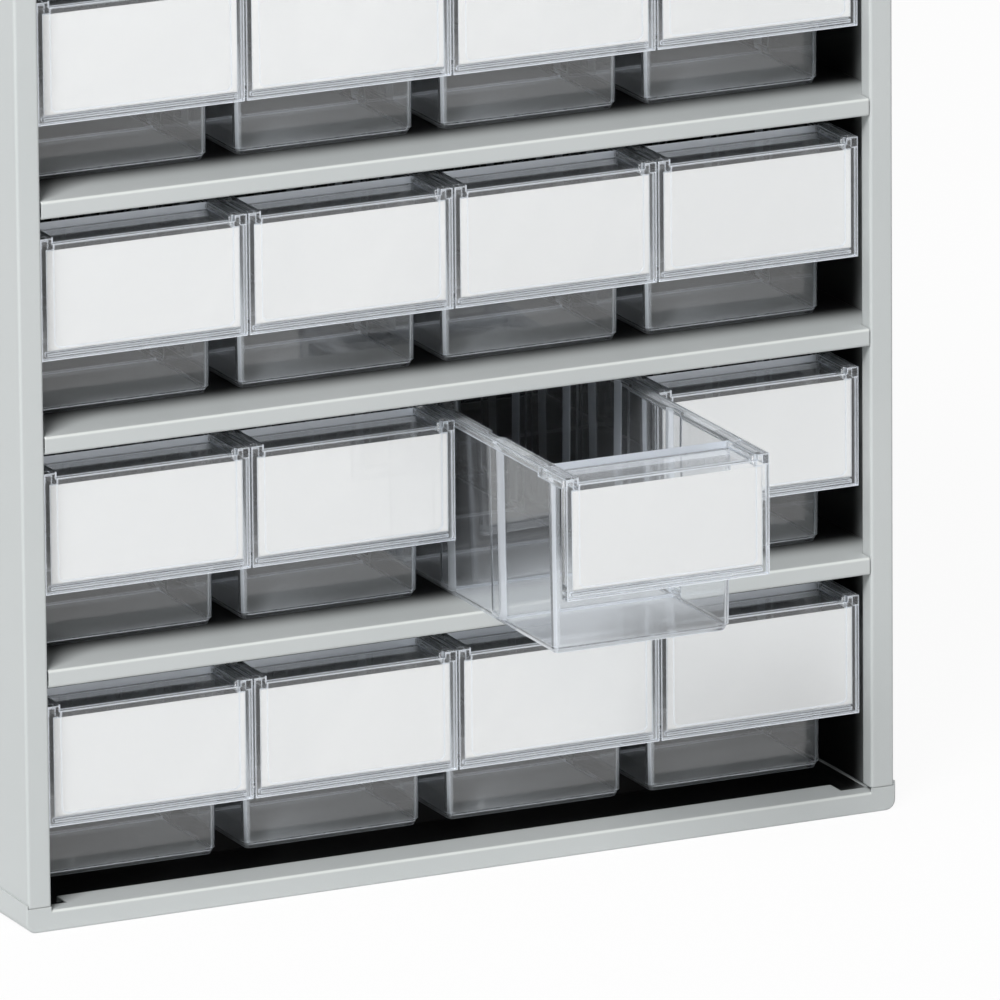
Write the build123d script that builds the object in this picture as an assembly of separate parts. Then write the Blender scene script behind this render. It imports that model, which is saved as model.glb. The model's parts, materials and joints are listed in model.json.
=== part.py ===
from build123d import *
import math
import os

# Parts bin cabinet: a folded sheet-steel case with rows of clear drawers that slide out to the front.
# Millimetres. The front faces -Y, +Z is up, and the origin is the centre of the footprint,
# on the surface that the cabinet stands on.

# ---------------------------------------------------------------- driving dimensions
rows = 4
columns = 4

# one drawer, a single clear moulding
drawer_width = 93.0          # over the front plate and the side rims
drawer_height = 82.0
drawer_gap = 1.0             # between neighbouring front plates
drawer_wall = 1.6
drawer_floor = 1.8
drawer_draft = 0.8           # degrees, the body narrows towards its floor
rim_overhang = 4.8           # how far the rim stands out from the body's side
rim_thickness = 1.5
rim_lip = 3.6                # height of the rim's turned-down edge
wall_drop = 3.0              # front and rear walls end this far below the rims
base_edge = 3.0              # height of the sloping foot of the body, under the pleats
base_draft = 28.0            # degrees
corner_round = 3.5           # upright corners of the body

# divider channels: shallow pleats pressed outwards in both side walls
pleat_count = 4
pleat_pitch = 50.0
pleat_first = 54.0           # from the body's front wall to the first pleat's middle
pleat_base = 14.0
pleat_crest = 8.0
pleat_depth = 1.8
guide_rib = 1.2              # low ribs across the floor between the pleats

# finger-grip hood with the label pocket
hood_depth = 24.0            # from the front plate's face to the body's front wall
hood_arm = 5.0               # height of the two arms that carry the front plate
plate_bottom = 30.0          # the front plate's lower edge above the drawer's underside
plate_wall = 1.5
plate_depth = 5.0            # depth of the plate's turned-back edges
plate_notch = 2.5            # the plate's top edge lies this far below its corner tabs
tab_width = 5.3
label_side = 3.0             # from the plate's side to the label
label_foot = 4.0             # from the plate's lower edge to the label
label_head = 3.0             # from the plate's top edge down to the label
label_thickness = 0.5
label_slack = 0.2
pocket_wall = 1.1            # ledge under the label
pocket_rail = 1.6            # how far the rails behind the label overlap it
window_side = 2.9            # stepped window, from the label's sides; it is open at the top
window_foot = 1.3            # from the label's lower edge
window_corner = 1.8          # the window's lower corners are cut off by this much
window_step = 0.3
web_thickness = 1.5

# case
cabinet_depth = 300.0
sheet = 0.8
side_play = 2.5              # from the outer drawers to the posts
post_width = 10.6
post_return = 8.0
post_bend = 1.2              # outside bend radius of the side panels
back_flange = 12.0
head_room = 10.4             # above the drawers, up to the next shelf's front edge
shelf_edge = 7.6             # height of a shelf's front edge
shelf_hem = 8.0
shelf_flange = 10.0
shelf_bend = 1.2
tray_lip = 9.0               # height of the top and bottom panels' front lip
tray_flange = 19.0
tray_flange_end = 8.0        # the flange is narrower beside the posts
tray_notch = 10.5
tray_hem = 3.0
tray_wall = 12.5
tray_bend = 4.5
tray_fold = 0.5              # broken edge along the foot of the front and rear walls
tray_ear = 1.7               # how far the lip rises in front of the posts
deck_rise = 3.4              # the lowest drawers' floor above the front lip
deck_setback = 70.0

# fits
slide_clearance = 0.3        # under each drawer
front_recess = 6.6           # from the posts' front to the closed drawers' front plates
rear_gap = 1.8               # from the closed drawers to the back panel
shelf_side_gap = 0.4         # between a shelf's front edge and the posts
ear_gap = 0.2                # seam between the tray's ear and the post

# holes in the back panel for wall screws
wall_hole = 5.5
wall_hole_spacing = 300.0

# the drawer that stands open at rest
open_row = 3
open_column = 3
open_travel = 106.0

# ---------------------------------------------------------------- sizes that follow
column_pitch = drawer_width + drawer_gap
row_pitch = drawer_height + head_room + shelf_edge
bay_width = columns * column_pitch - drawer_gap + 2 * side_play
cabinet_width = bay_width + 2 * post_width
half_width = cabinet_width / 2
half_depth = cabinet_depth / 2
inner_half = half_width - sheet
deck_top = tray_lip + deck_rise
cabinet_height = deck_top + rows * row_pitch - shelf_edge + tray_lip
back_panel_face = half_depth - 2 * sheet          # the back panel's inner face
back_flange_face = back_panel_face - sheet        # the side panels' rear flanges, inner face
plate_front = front_recess - half_depth
drawer_length = back_panel_face - rear_gap - plate_front
body_half = drawer_width / 2 - rim_overhang
wall_top = drawer_height - wall_drop
plate_top = drawer_height - plate_notch
label_width = drawer_width - 2 * label_side
label_height = plate_top - label_head - plate_bottom - label_foot
label_bottom = plate_bottom + label_foot


def box(x0, x1, y0, y1, z0, z1):
    """A block between two corners."""
    centre = Vector((x0 + x1) / 2, (y0 + y1) / 2, (z0 + z1) / 2)
    return Pos(centre) * Box(abs(x1 - x0), abs(y1 - y0), abs(z1 - z0))


def both_sides(shape):
    """The shape and its mirror image across the YZ plane."""
    return shape + mirror(shape, about=Plane.YZ)


def folded_section(corners, bend):
    """Section of a folded sheet. The corners are on its outer face, and every fold turns right."""
    steps = [Vector(*b) - Vector(*a) for a, b in zip(corners, corners[1:])]
    normals = [Vector(s.Y, -s.X).normalized() for s in steps]
    inner = []
    for i, corner in enumerate(corners):
        before, after = normals[max(i - 1, 0)], normals[min(i, len(normals) - 1)]
        miter = (before + after) / (1 + before.dot(after))
        inner.append(Vector(*corner) + miter * sheet)
    outer_line = FilletPolyline(*corners, radius=bend)
    inner_line = FilletPolyline(*inner, radius=bend - sheet)
    ends = [Line(outer_line @ 0, inner_line @ 0), Line(outer_line @ 1, inner_line @ 1)]
    return make_face(Wire(outer_line.edges() + inner_line.edges() + ends))


# ---------------------------------------------------------------- case
def side_panel():
    """Left side panel: the front post and its return, the outer side and the rear flange."""
    front, back = -half_depth, back_panel_face
    section = folded_section(
        [
            (-half_width + post_width, front + post_return),
            (-half_width + post_width, front),
            (-half_width, front),
            (-half_width, back),
            (-half_width + back_flange, back),
        ],
        post_bend,
    )
    panel = Pos(0, 0, tray_bend) * extrude(section, cabinet_height - 2 * tray_bend)
    post_foot = tray_lip + tray_ear + ear_gap
    for z0, z1 in ((0, post_foot), (cabinet_height - post_foot, cabinet_height)):
        panel -= box(-inner_half, 0, front - 1, front + post_return + post_bend, z0, z1)
        panel -= box(-half_width - 1, 0, front - 1, front + sheet + ear_gap, z0, z1)
    return panel


def back_panel():
    """Flat sheet behind the side panels' rear flanges, with the holes for wall screws."""
    edge = half_width - ear_gap
    panel = box(-edge, edge, back_panel_face, back_panel_face + sheet, tray_bend, cabinet_height - tray_bend)
    lowest = deck_top + drawer_height + head_room / 2
    for z in (lowest, lowest + (rows - 1) * row_pitch):
        hole = Pos(wall_hole_spacing / 2, back_panel_face, z) * Rot(90, 0, 0) * Cylinder(wall_hole / 2, 4 * sheet)
        panel -= both_sides(hole)
    return panel


def tray_block(inset):
    """Block with the tray's rounded lower edges, smaller by an inset on every side."""
    x = half_width + sheet - inset
    y = half_depth - inset
    block = box(-x, x, -y, y, inset, tray_wall)
    return fillet([e for e in block.edges().filter_by(Axis.Y) if e.center().Z < tray_bend], tray_bend - inset)


def tray():
    """Bottom panel: a shallow tray with rounded lower edges and a front lip folded back on itself."""
    front = -half_depth
    lip_back = front + tray_flange
    bay = bay_width / 2
    outside = tray_block(0)
    fold = [e for e in outside.edges() if abs(e.center().Y) > -front - 0.01 and e.center().Z < tray_bend]
    shell = chamfer(fold, tray_fold) - tray_block(sheet)
    shell -= box(-bay, bay, front, front + sheet, tray_lip / 2, tray_wall)
    shell -= both_sides(box(bay, half_width, front, front + sheet, tray_lip + tray_ear, tray_wall))
    corners = [(front, tray_lip / 2), (front, tray_lip), (lip_back, tray_lip), (lip_back, tray_lip - tray_hem)]
    lip = extrude(Plane.YZ * folded_section(corners, shelf_bend), bay, both=True)
    lip += both_sides(box(bay, inner_half, front + sheet, lip_back, tray_lip - sheet, tray_lip))
    lip -= both_sides(box(bay - tray_notch, half_width, front + tray_flange_end, lip_back, 0, tray_lip))
    return shell + lip


def deck():
    """Raised floor under the lowest drawers, with a turned-down edge in front and behind."""
    front = deck_setback - half_depth
    section = folded_section(
        [(front, sheet), (front, deck_top), (back_flange_face, deck_top), (back_flange_face, sheet)], shelf_bend
    )
    return extrude(Plane.YZ * section, half_width + sheet - tray_bend, both=True)


def shelf():
    """Shelf with its top face at Z 0: hemmed front edge, rear flange and side flanges."""
    front = -half_depth
    section = folded_section(
        [
            (front + shelf_hem, -shelf_edge),
            (front, -shelf_edge),
            (front, 0),
            (back_flange_face, 0),
            (back_flange_face, -shelf_flange),
        ],
        shelf_bend,
    )
    plate = extrude(Plane.YZ * section, inner_half, both=True)
    behind_post = front + post_return + shelf_side_gap
    before_bend = back_flange_face - post_bend
    plate -= both_sides(box(bay_width / 2 - shelf_side_gap, half_width, front, behind_post, -shelf_edge, 0))
    plate -= both_sides(box(inner_half - post_bend, half_width, before_bend, half_depth, -shelf_flange, 0))
    flange = box(inner_half - sheet, inner_half, behind_post, before_bend, -shelf_flange, 0)
    return plate + both_sides(flange)


# ---------------------------------------------------------------- drawer
# A drawer's own frame: x is its middle, y 0 the front plate's face, z 0 its underside.
def corner_points(x, y, radius):
    """An upright corner's three flats, from the front or rear wall round to the side at x."""
    inward = radius if y < drawer_length / 2 else -radius
    turns = [math.radians(30 * i) for i in range(4)]
    return [(x - radius * (1 - math.sin(t)), y + inward * (1 - math.cos(t))) for t in turns]


def plan(right_side):
    """Face through the points of the right side, from front to rear, and their mirror images."""
    return make_face(Polyline(*right_side, *[(-x, y) for x, y in reversed(right_side)], close=True))


def body_solid(bottom, wall, pleats):
    """The tapered body from a height up, its faces a wall's thickness further in, with or without pleats."""
    x = body_half - wall
    flank = (pleat_base - pleat_crest) / 2
    shrink = wall * (math.hypot(pleat_depth, flank) - flank) / pleat_depth
    base = pleat_base / 2 - shrink
    crest = pleat_crest / 2 - shrink
    side = corner_points(x, hood_depth + wall, corner_round - wall)
    for i in range(pleats):
        middle = hood_depth + pleat_first + i * pleat_pitch
        side += [(x, middle - base), (x + pleat_depth, middle - crest)]
        side += [(x + pleat_depth, middle + crest), (x, middle + base)]
    side += corner_points(x, drawer_length - wall, corner_round - wall)[::-1]
    body = extrude(Pos(0, 0, bottom) * plan(side), drawer_height - bottom)
    walls = [f for f in body.faces() if abs(f.normal_at().Z) < 0.5]
    return draft(walls, Plane.XY.offset(drawer_height), -drawer_draft)


def drawer_foot():
    """Foot of the body, below the pleats, with sloping sides."""
    taper = (drawer_height - base_edge) * math.tan(math.radians(drawer_draft))
    x = body_half - taper
    side = corner_points(x, hood_depth + taper, corner_round)
    side += corner_points(x, drawer_length - taper, corner_round)[::-1]
    foot = extrude(plan(side), base_edge)
    walls = [f for f in foot.faces() if abs(f.normal_at().Z) < 0.5]
    return draft(walls, Plane.XY.offset(base_edge), -base_draft)


def floor_guides():
    """Low ribs across the floor, one at each pair of pleats."""
    half = body_half - drawer_height * math.tan(math.radians(drawer_draft)) - drawer_wall
    rib = box(-half, half, -guide_rib / 2, guide_rib / 2, drawer_floor, drawer_floor + guide_rib)
    return [Pos(0, hood_depth + pleat_first + i * pleat_pitch, 0) * rib for i in range(pleat_count)]


def front_plate():
    """Front plate with turned-back edges, label pocket and stepped window."""
    half = drawer_width / 2
    label_half = label_width / 2
    plate = box(-half, half, 0, plate_depth, plate_bottom, drawer_height)
    edge = half - plate_wall
    plate -= box(-edge, edge, plate_wall, plate_depth, plate_bottom + plate_wall, drawer_height)
    plate -= box(tab_width - half, half - tab_width, 0, plate_depth, plate_top, drawer_height)
    rail_front = plate_wall + label_thickness + label_slack
    pocket_side = label_half + label_slack
    post = box(pocket_side, edge, plate_wall, plate_depth, plate_bottom, plate_top)
    rail = box(label_half - pocket_rail, edge, rail_front, plate_depth, label_bottom, plate_top)
    plate += both_sides(post + rail)
    plate += box(-pocket_side, pocket_side, plate_wall, plate_depth, label_bottom - pocket_wall, label_bottom)
    plate += box(-pocket_side, pocket_side, rail_front, plate_depth, label_bottom, label_bottom + pocket_rail)
    window_bottom = label_bottom + window_foot
    window = Plane.XZ * Rectangle(label_width - 2 * window_side, plate_top - window_bottom)
    window = chamfer(window.vertices().sort_by(Axis.Z)[:2], window_corner)
    return plate - Pos(0, window_step, (window_bottom + plate_top) / 2) * extrude(window, window_step)


def drawer():
    """The whole clear drawer."""
    half = drawer_width / 2
    rim_bottom = drawer_height - rim_thickness
    rim_edge = half - rim_thickness
    arm_back = hood_depth + corner_round
    body = drawer_foot() + body_solid(base_edge, 0, pleat_count)
    rim = box(body_half - drawer_wall, half, hood_depth, drawer_length, rim_bottom, drawer_height)
    rim += box(rim_edge, half, hood_depth, drawer_length, drawer_height - rim_lip, drawer_height)
    arm = box(body_half - rim_thickness, half, plate_wall, arm_back, drawer_height - hood_arm, drawer_height)
    arm -= box(body_half, rim_edge, plate_depth, hood_depth, drawer_height - hood_arm, rim_bottom)
    body += both_sides(rim + arm)
    body -= body_solid(drawer_floor, drawer_wall, 0)
    body -= body_solid(base_edge + drawer_wall, drawer_wall, pleat_count)
    opening = body_half - drawer_wall
    for y in (hood_depth, drawer_length - drawer_wall):
        body -= box(-opening, opening, y, y + drawer_wall, wall_top, drawer_height)
    web = box(-body_half, body_half, plate_depth, hood_depth + drawer_wall, wall_top - web_thickness, wall_top)
    body += web + front_plate()
    for rib in floor_guides():
        body += rib
    return body


def label():
    """Blank card in the pocket behind the front plate."""
    half = label_width / 2
    return box(-half, half, plate_wall, plate_wall + label_thickness, label_bottom, label_bottom + label_height)


def drawer_place(row, column):
    """Where a drawer's own frame lies. Rows count from the top, columns from the left."""
    x = (column - (columns + 1) / 2) * column_pitch
    is_open = row == open_row and column == open_column
    y = plate_front - (open_travel if is_open else 0)
    z = deck_top + (rows - row) * row_pitch + slide_clearance
    return Pos(x, y, z)


# ---------------------------------------------------------------- all pieces
def pieces():
    """Every piece by its name."""
    left = side_panel()
    bottom = tray()
    made = {
        "left_side_panel": left,
        "right_side_panel": mirror(left, about=Plane.YZ),
        "bottom_panel": bottom,
        "top_panel": mirror(bottom, about=Plane.XY.offset(cabinet_height / 2)),
        "back_panel": back_panel(),
        "bottom_deck": deck(),
    }
    one_shelf = shelf()
    for level in range(1, rows):
        made[f"shelf_{level}"] = Pos(0, 0, deck_top + (rows - level) * row_pitch) * one_shelf
    one_drawer, one_label = drawer(), label()
    for row in range(1, rows + 1):
        for column in range(1, columns + 1):
            place = drawer_place(row, column)
            made[f"drawer_r{row}c{column}"] = place * one_drawer
            made[f"label_r{row}c{column}"] = place * one_label
    return made


os.makedirs("parts", exist_ok=True)
for name, piece in pieces().items():
    piece.label = name
    export_step(piece, f"parts/{name}.step")
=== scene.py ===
import json
import math

import bpy
from mathutils import Matrix, Vector


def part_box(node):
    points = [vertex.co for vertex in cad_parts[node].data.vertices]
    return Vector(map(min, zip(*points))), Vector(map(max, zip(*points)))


# Parts bin cabinet: powder-coated sheet steel, clear moulded drawers and blank label cards.
# Metres. Every piece is a node of the frame, and gets its finish here.
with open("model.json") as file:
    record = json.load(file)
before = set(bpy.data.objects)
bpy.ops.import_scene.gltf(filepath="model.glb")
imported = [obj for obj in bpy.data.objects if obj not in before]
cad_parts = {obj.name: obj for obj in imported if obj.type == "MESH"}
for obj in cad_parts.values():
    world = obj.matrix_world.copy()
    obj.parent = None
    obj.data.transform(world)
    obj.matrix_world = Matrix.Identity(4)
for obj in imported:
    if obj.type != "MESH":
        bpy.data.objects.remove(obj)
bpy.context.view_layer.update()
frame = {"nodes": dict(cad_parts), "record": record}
nodes = frame["nodes"]

# ---------------------------------------------------------------- sizes
# the case
half_sheet = 0.0004          # half the thickness of its sheet
shade_start = 0.013          # how far behind the front the painted shade inside starts
shade_end = 0.038            # how far behind the front the painted shade is darkest
shade_left = 0.012           # share of the colour that the painted shade leaves there

# the drawers
lowest_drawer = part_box("drawer_r4c1")[0]
row_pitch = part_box("drawer_r3c1")[0].z - lowest_drawer.z
under_floor = 0.0002         # the floor haze zone starts this far below a drawer
floor_haze_zone = 0.005         # height of the floor haze zone, where more haze paints the drawer floors lighter

# rounding that finds and softens edges
steel_edge = 0.0009
plastic_edge = 0.0012

# camera, fitted to the photograph of 1000 by 1000 pixels
picture_width = 1000
camera_yaw = 25.205          # degrees, to the right of +Y
camera_pitch = 15.587        # degrees, downwards
camera_roll = -0.484         # degrees
focal_length = 17001.0       # pixels
scale_at_target = 2402.0     # pixels in a metre
camera_target = Vector((0, -0.150, 0.200))
camera_shift = (0.015728, -0.036879)    # to the right and upwards
sensor_width = 36.0          # millimetres

# light and surroundings
key_place = (-2.9, -2.9, 4.0)
key_target = (0, -0.1, 0.2)
key_size = 2.0
key_power = 270.0            # watts
surround_light = 0.18        # strength of the surroundings as light, where 1 is white
floor_half = 30.0
floor_drop = 0.0002
floor_white_share = 0.95     # share of plain white in what the eye sees of the floor


# ---------------------------------------------------------------- node helpers
def material(name):
    """A new node material: its tree, its shader and a helper that adds a node."""
    mat = bpy.data.materials.new(name)
    mat.use_nodes = True
    tree = mat.node_tree
    shader = tree.nodes["Principled BSDF"]

    def add(kind, inputs=None, **settings):
        node = tree.nodes.new("ShaderNode" + kind)
        for key, value in settings.items():
            setattr(node, key, value)
        for key, value in (inputs or {}).items():
            if isinstance(value, bpy.types.NodeSocket):
                tree.links.new(value, node.inputs[key])
            else:
                node.inputs[key].default_value = value
        return node

    return mat, tree, shader, add


def feed(tree, shader, **sockets):
    """Links sockets to the shader's inputs, which are named with _ for a space."""
    for name, socket in sockets.items():
        tree.links.new(socket, shader.inputs[name.replace("_", " ")])


def show(tree, shader_socket):
    """Makes a shader socket the material's surface."""
    tree.links.new(shader_socket, tree.nodes["Material Output"].inputs["Surface"])


def calc(add, operation, first, second=0.0, clamp=False):
    """The value of a Math node."""
    return add("Math", {0: first, 1: second}, operation=operation, use_clamp=clamp).outputs["Value"]


def spread(add, value, low, high, start=0.0, end=1.0, **settings):
    """A value mapped from the range start to end onto the range low to high."""
    inputs = {"Value": value, "From Min": start, "From Max": end, "To Min": low, "To Max": high}
    return add("MapRange", inputs, **settings).outputs["Result"]


def noise(add, place, scale, **inputs):
    """The value of a Noise node."""
    return add("TexNoise", {"Vector": place, "Scale": scale, **inputs}).outputs["Fac"]


def two_tones(add, value, first, second, start=0.0, end=1.0):
    """A colour between two tones, for a value between start and end."""
    ramp = add("ValToRGB", {"Fac": value})
    for stop, position, tone in zip(ramp.color_ramp.elements, (start, end), (first, second)):
        stop.position = position
        stop.color = tone
    return ramp.outputs["Color"]


def mixed(add, share, first, second, blend="MIX"):
    """A colour mixed from two, where share is how much of the second goes in."""
    inputs = {"Fac": share, "Color1": first, "Color2": second}
    return add("MixRGB", inputs, blend_type=blend).outputs["Color"]


def mixed_shader(add, share, first, second):
    """A shader mixed from two, where share is how much of the second goes in."""
    return add("MixShader", {"Fac": share, 1: first, 2: second}).outputs["Shader"]


def linear(*srgb):
    """An 8-bit sRGB colour as the linear values that a shader takes."""
    def one(v):
        v /= 255
        return v / 12.92 if v <= 0.04045 else ((v + 0.055) / 1.055) ** 2.4
    return tuple(one(v) for v in srgb) + (1.0,)


# ---------------------------------------------------------------- masks
def near_edge(add, radius, start, full):
    """A rounded normal, and a mask that grows from a start to a full turn of it beside an edge."""
    rounded = add("Bevel", {"Radius": radius}, samples=6).outputs["Normal"]
    flat = add("NewGeometry").outputs["Normal"]
    turned = add("VectorMath", {0: rounded, 1: flat}, operation="DOT_PRODUCT").outputs["Value"]
    return rounded, spread(add, turned, 0.0, 1.0, start, full)


def inside_case(add, place):
    """1 on the case's inner faces and 0 on its outer ones."""
    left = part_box("left_side_panel")[0]
    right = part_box("right_side_panel")[1]
    low = Vector((left.x, left.y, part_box("bottom_panel")[0].z))
    high = Vector((right.x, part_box("back_panel")[1].y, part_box("top_panel")[1].z))
    low += Vector((half_sheet, 0, half_sheet))
    high -= Vector((half_sheet, half_sheet, half_sheet))
    offset = add("VectorMath", {0: place, 1: (low + high) / 2}, operation="SUBTRACT").outputs["Vector"]
    reach = add("VectorMath", {0: offset}, operation="ABSOLUTE").outputs["Vector"]
    beyond = add("VectorMath", {0: reach, 1: (high - low) / 2}, operation="SUBTRACT").outputs["Vector"]
    axes = add("SeparateXYZ", {"Vector": beyond}).outputs
    most = calc(add, "MAXIMUM", calc(add, "MAXIMUM", axes["X"], axes["Y"]), axes["Z"])
    return calc(add, "LESS_THAN", most, 0.0)


def face_direction(add):
    """The X, Y and Z sockets of a face's own normal."""
    return add("SeparateXYZ", {"Vector": add("NewGeometry").outputs["True Normal"]}).outputs


def fold_crest(add):
    """A mask for the painted highlight, which peaks on the upper folds along the front, between a front
    face and a top face.
    """
    facing = face_direction(add)
    return calc(add, "MULTIPLY", calc(add, "MULTIPLY", facing["Y"], facing["Z"]), -2.0, clamp=True)


def upright_slant(add, facing):
    """A mask that peaks on upright faces between the front and a side, such as pleats and corners."""
    slant = calc(add, "ABSOLUTE", calc(add, "MULTIPLY", facing["X"], facing["Y"]))
    return calc(add, "MULTIPLY", slant, 2.0, clamp=True)


def drawer_floor(add, place):
    """1 within the floor haze zone at the foot of any drawer, and 0 above it."""
    level = add("SeparateXYZ", {"Vector": place}).outputs["Z"]
    height = calc(add, "SUBTRACT", level, lowest_drawer.z - under_floor)
    return calc(add, "LESS_THAN", calc(add, "FLOORED_MODULO", height, row_pitch), floor_haze_zone)


# ---------------------------------------------------------------- materials
def powder_coat():
    """Light grey powder coat: fine orange peel and faint clouding, with a painted highlight on folds and
    edges and painted shade darkening its inside.
    """
    mat, tree, shader, add = material("powder_coated_steel")
    place = add("TexCoord").outputs["Object"]
    peel = noise(add, place, 1400.0, Detail=2.0, Roughness=0.55)
    cloud = noise(add, place, 9.0, Detail=4.0, Roughness=0.6)
    speck = noise(add, place, 5200.0, Detail=1.0)
    tone = two_tones(add, cloud, linear(201, 206, 206), linear(206, 210, 210), 0.3, 0.7)
    grain = mixed(add, 0.05, tone, speck, "OVERLAY")
    normal, edge = near_edge(add, steel_edge, 0.99, 0.75)
    # painted highlight: the front folds, and all edges a quarter as much, are mixed towards a paler grey
    painted_highlight = calc(add, "MAXIMUM", calc(add, "MULTIPLY", edge, 0.25), fold_crest(add))
    paler = mixed(add, painted_highlight, grain, linear(228, 232, 229))
    # painted shade: the case's inner faces darken with depth behind the front, though the coat inside is
    # the same grey
    depth = add("SeparateXYZ", {"Vector": place}).outputs["Y"]
    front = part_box("left_side_panel")[0].y
    shade = spread(add, depth, 1.0, shade_left, front + shade_start, front + shade_end,
                   interpolation_type="SMOOTHSTEP")
    shaded = mixed(add, inside_case(add, place), paler, shade, "MULTIPLY")
    bump = add("Bump", {"Height": peel, "Strength": 0.12, "Distance": 0.0003, "Normal": normal})
    feed(tree, shader, Base_Color=shaded, Roughness=spread(add, cloud, 0.40, 0.50, 0.3, 0.7),
         Normal=bump.outputs["Normal"])
    shader.inputs["Specular IOR Level"].default_value = 0.45
    return mat


def clear_plastic():
    """Clear polystyrene with a cold haze, flow marks and scuffed gloss; extra haze on level faces and
    drawer floors is painted light from above, and milky, glossy edges and pleats are painted highlights.
    """
    mat, tree, shader, add = material("clear_polystyrene")
    place = add("TexCoord").outputs["Object"]
    flow = noise(add, place, 26.0, Detail=3.0, Distortion=0.6)
    scuff = noise(add, place, 420.0, Detail=3.0, Roughness=0.7)
    normal, edge = near_edge(add, plastic_edge, 0.995, 0.93)
    bump = add("Bump", {"Height": flow, "Strength": 0.05, "Distance": 0.0006, "Normal": normal})
    shader.inputs["Base Color"].default_value = (0.97, 0.98, 0.99, 1.0)
    shader.inputs["Transmission Weight"].default_value = 1.0
    shader.inputs["IOR"].default_value = 1.59
    feed(tree, shader, Roughness=spread(add, scuff, 0.012, 0.03, 0.35, 0.75), Normal=bump.outputs["Normal"])

    # where the haze lies: a trace everywhere; beyond that it is painted light, more on level faces and most
    # on drawer floors as if lit from above, and painted highlights on pleats and edges
    facing = face_direction(add)
    slant = upright_slant(add, facing)
    level = calc(add, "MULTIPLY", facing["Z"], facing["Z"])
    floors = calc(add, "MULTIPLY", level, drawer_floor(add, place))
    milky = calc(add, "MAXIMUM", spread(add, level, 0.03, 0.17), spread(add, floors, 0.0, 0.40))
    milky = calc(add, "MAXIMUM", milky, calc(add, "MULTIPLY", slant, 0.5))
    milky = calc(add, "MAXIMUM", milky, spread(add, edge, 0.0, 0.85))

    # what it looks like: dull on flat faces, and a soft gleam on edges and slants
    cloudy = add("BsdfDiffuse", {"Color": (0.89, 0.93, 0.98, 1.0)}).outputs["BSDF"]
    gleam = add("BsdfGlossy", {"Color": (0.88, 0.93, 1.0, 1.0), "Roughness": 0.30}).outputs["BSDF"]
    haze = mixed_shader(add, calc(add, "MAXIMUM", edge, slant), cloudy, gleam)
    plastic = mixed_shader(add, milky, shader.outputs["BSDF"], haze)

    # light passes through to the labels and the shelves
    rays = add("LightPath").outputs
    passing = calc(add, "MAXIMUM", rays["Is Shadow Ray"], rays["Is Diffuse Ray"])
    through = add("BsdfTransparent", {"Color": (0.985, 0.988, 0.99, 1.0)}).outputs["BSDF"]
    show(tree, mixed_shader(add, passing, plastic, through))
    return mat


def card():
    """Plain white card with a little fibre."""
    mat, tree, shader, add = material("label_card")
    place = add("TexCoord").outputs["Object"]
    fibre = noise(add, place, 1800.0, Detail=4.0, Roughness=0.7)
    bump = add("Bump", {"Height": fibre, "Strength": 0.05, "Distance": 0.0001})
    feed(tree, shader, Base_Color=two_tones(add, fibre, linear(247, 247, 246), linear(254, 254, 253)),
         Roughness=spread(add, fibre, 0.75, 0.9), Normal=bump.outputs["Normal"])
    return mat


finish = {"steel": powder_coat(), "clear_plastic": clear_plastic(), "label_card": card()}
for part in frame["record"]["subparts"]:
    mesh = nodes[part["node"]].data
    mesh.materials.clear()
    mesh.materials.append(finish[part["material_slot"]])
    for polygon in mesh.polygons:
        polygon.use_smooth = False


# ---------------------------------------------------------------- floor, light and camera
def floor_material():
    """White floor that keeps the shadow, and shows white to the eye and in reflections."""
    mat, tree, shader, add = material("floor_white")
    shader.inputs["Base Color"].default_value = (0.92, 0.92, 0.92, 1.0)
    shader.inputs["Roughness"].default_value = 0.9
    rays = add("LightPath").outputs
    seen = calc(add, "MAXIMUM", rays["Is Camera Ray"], rays["Is Glossy Ray"])
    seen = calc(add, "MAXIMUM", seen, rays["Is Transmission Ray"])
    white = add("Emission", {"Color": (1, 1, 1, 1), "Strength": 1.0}).outputs["Emission"]
    share = calc(add, "MULTIPLY", seen, floor_white_share)
    show(tree, mixed_shader(add, share, shader.outputs["BSDF"], white))
    return mat


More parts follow.
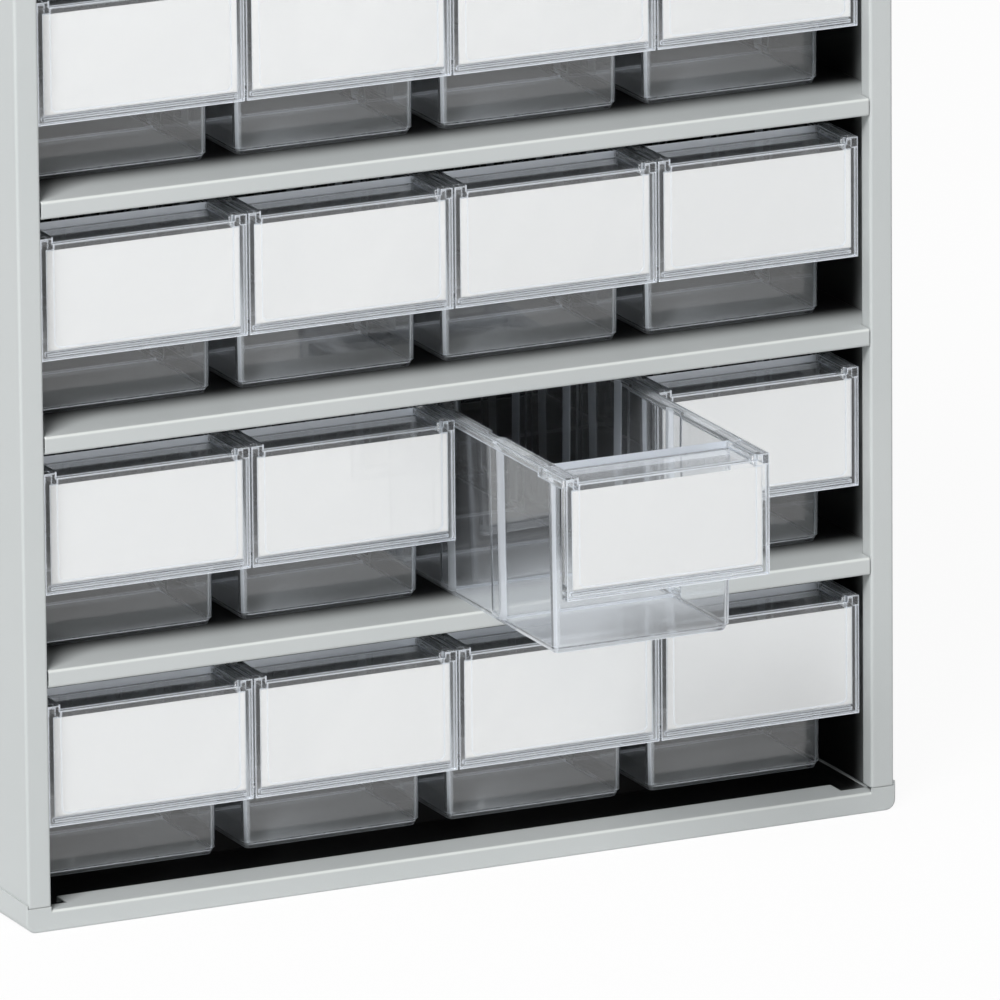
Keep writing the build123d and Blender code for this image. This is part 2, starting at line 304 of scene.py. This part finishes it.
def make_floor():
    """A wide plane just under the cabinet."""
    mesh = bpy.data.meshes.new("floor")
    corners = [(x * floor_half, y * floor_half, 0) for x, y in ((-1, -1), (1, -1), (1, 1), (-1, 1))]
    mesh.from_pydata(corners, [], [(0, 1, 2, 3)])
    floor = bpy.data.objects.new("floor", mesh)
    floor.location.z = -floor_drop
    bpy.context.scene.collection.objects.link(floor)
    mesh.materials.append(floor_material())


def surroundings():
    """White surroundings: even light at a plain level, and white where they are seen or mirrored."""
    world = bpy.data.worlds.new("surround")
    world.use_nodes = True
    tree = world.node_tree
    back = tree.nodes["Background"]
    back.inputs["Color"].default_value = (1, 1, 1, 1)
    rays = tree.nodes.new("ShaderNodeLightPath")
    strength = tree.nodes.new("ShaderNodeMapRange")
    strength.inputs["To Min"].default_value = 1.0
    strength.inputs["To Max"].default_value = surround_light
    tree.links.new(rays.outputs["Is Diffuse Ray"], strength.inputs["Value"])
    tree.links.new(strength.outputs["Result"], back.inputs["Strength"])
    bpy.context.scene.world = world


def key_light():
    """A square soft lamp, high at the front left."""
    light = bpy.data.lights.new("key", "AREA")
    light.size = key_size
    light.energy = key_power
    holder = bpy.data.objects.new("key", light)
    holder.location = key_place
    holder.rotation_euler = (Vector(key_target) - Vector(key_place)).to_track_quat("-Z", "Y").to_euler()
    bpy.context.scene.collection.objects.link(holder)


def camera():
    """Long lens from the front left, a little above."""
    yaw, pitch, roll = (math.radians(angle) for angle in (camera_yaw, camera_pitch, camera_roll))
    ahead = Vector((math.sin(yaw) * math.cos(pitch), math.cos(yaw) * math.cos(pitch), -math.sin(pitch)))
    level = Vector((math.cos(yaw), -math.sin(yaw), 0))
    upright = level.cross(ahead)
    right = level * math.cos(roll) + upright * math.sin(roll)
    up = upright * math.cos(roll) - level * math.sin(roll)
    place = camera_target - ahead * focal_length / scale_at_target
    place += right * camera_shift[0] + up * camera_shift[1]
    lens = bpy.data.cameras.new("camera")
    lens.sensor_width = sensor_width
    lens.lens = focal_length * sensor_width / picture_width
    lens.clip_end = 100.0
    eye = bpy.data.objects.new("camera", lens)
    eye.matrix_world = Matrix.Translation(place) @ Matrix((right, up, -ahead)).transposed().to_4x4()
    bpy.context.scene.collection.objects.link(eye)
    bpy.context.scene.camera = eye


make_floor()
surroundings()
key_light()
camera()
bpy.context.scene.view_settings.view_transform = "Standard"
